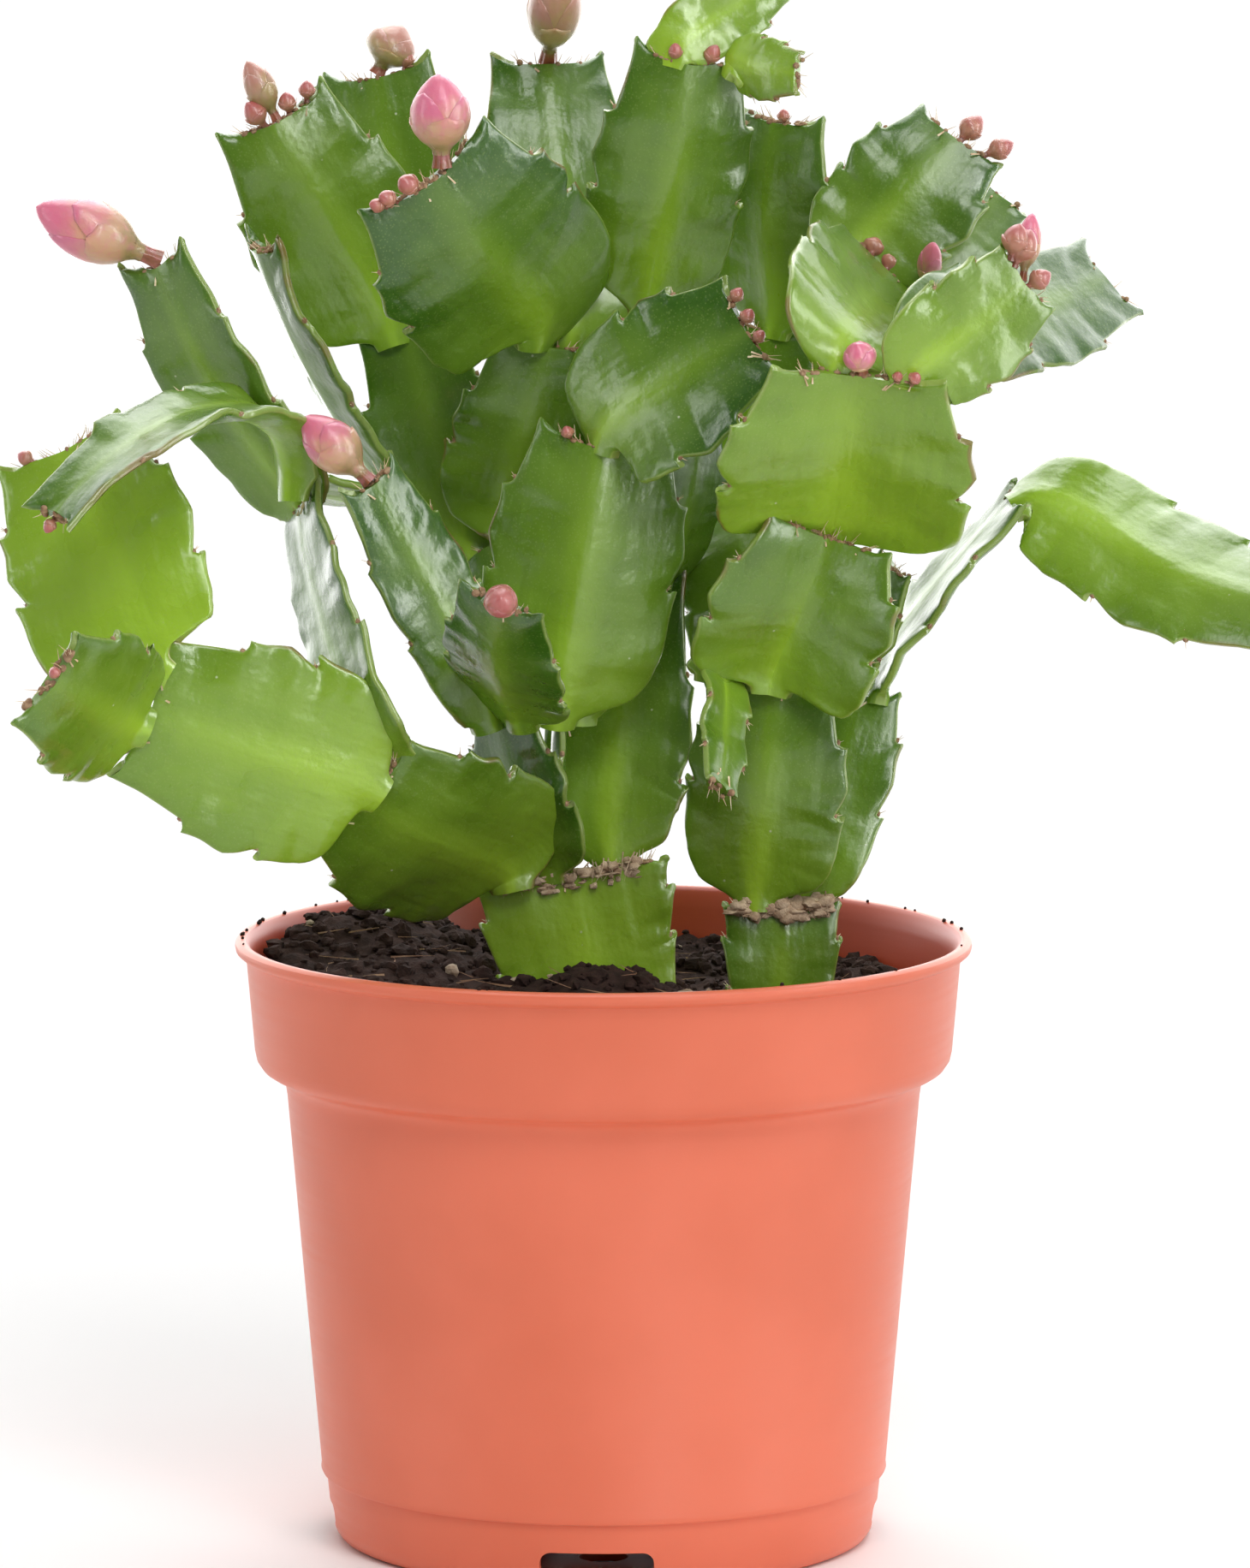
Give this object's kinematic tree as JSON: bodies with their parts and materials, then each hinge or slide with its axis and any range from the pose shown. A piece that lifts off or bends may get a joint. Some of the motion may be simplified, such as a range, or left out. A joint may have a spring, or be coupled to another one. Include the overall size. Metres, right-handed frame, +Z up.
{
  "type": "potted christmas cactus",
  "caption": "Christmas cactus with arching chains of flat toothed stem segments and pink flower buds, in a terracotta-coloured plastic nursery pot filled with dark potting soil.",
  "frame": {"origin": "centre of the pot's flat underside, on the surface it stands on", "axes": "+Z up along the pot's axis, +X to the right and -Y towards the viewer of the plant's front"},
  "size_m": [0.2075, 0.1201, 0.2575],
  "materials": {
    "pot_plastic": "semi-gloss injection-moulded plastic",
    "potting_soil": "loose peat, matte",
    "cactus_green": "waxy, satin green skin",
    "bud_pink": "satin petals and scales"
  },
  "bodies": {
    "root": {"pot": "pot_plastic", "soil": "potting_soil", "stump_left": "cactus_green", "stump_right": "cactus_green", "pad_1": "cactus_green", "pad_2": "cactus_green", "pad_3": "cactus_green", "pad_4": "cactus_green", "pad_5": "cactus_green", "pad_7": "cactus_green", "pad_8": "cactus_green", "pad_9": "cactus_green", "pad_9b": "cactus_green", "pad_10": "cactus_green", "pad_11": "cactus_green", "pad_11b": "cactus_green", "pad_12": "cactus_green", "pad_13": "cactus_green", "pad_19": "cactus_green", "pad_14": "cactus_green", "pad_15": "cactus_green", "pad_16": "cactus_green", "pad_17": "cactus_green", "pad_18": "cactus_green", "pad_20": "cactus_green", "pad_21": "cactus_green", "pad_22": "cactus_green", "pad_23": "cactus_green", "pad_24": "cactus_green", "pad_25a": "cactus_green", "pad_25b": "cactus_green", "pad_26": "cactus_green", "pad_27": "cactus_green", "pad_28": "cactus_green", "pad_29": "cactus_green", "pad_30": "cactus_green", "pad_31": "cactus_green", "pad_32": "cactus_green", "pad_33": "cactus_green", "pad_35": "cactus_green", "pad_36": "cactus_green", "pad_36b": "cactus_green", "pad_37": "cactus_green", "pad_38": "cactus_green", "pad_39": "cactus_green", "pad_40": "cactus_green", "pad_41": "cactus_green", "pad_42": "cactus_green", "pad_43": "cactus_green", "bud_4": "bud_pink", "bud_11": "bud_pink", "bud_12": "bud_pink", "bud_20": "bud_pink", "bud_21": "bud_pink", "bud_22": "bud_pink", "bud_23": "bud_pink", "bud_29": "bud_pink", "bud_32": "bud_pink", "bud_33": "bud_pink"}
  },
  "joints": []
}
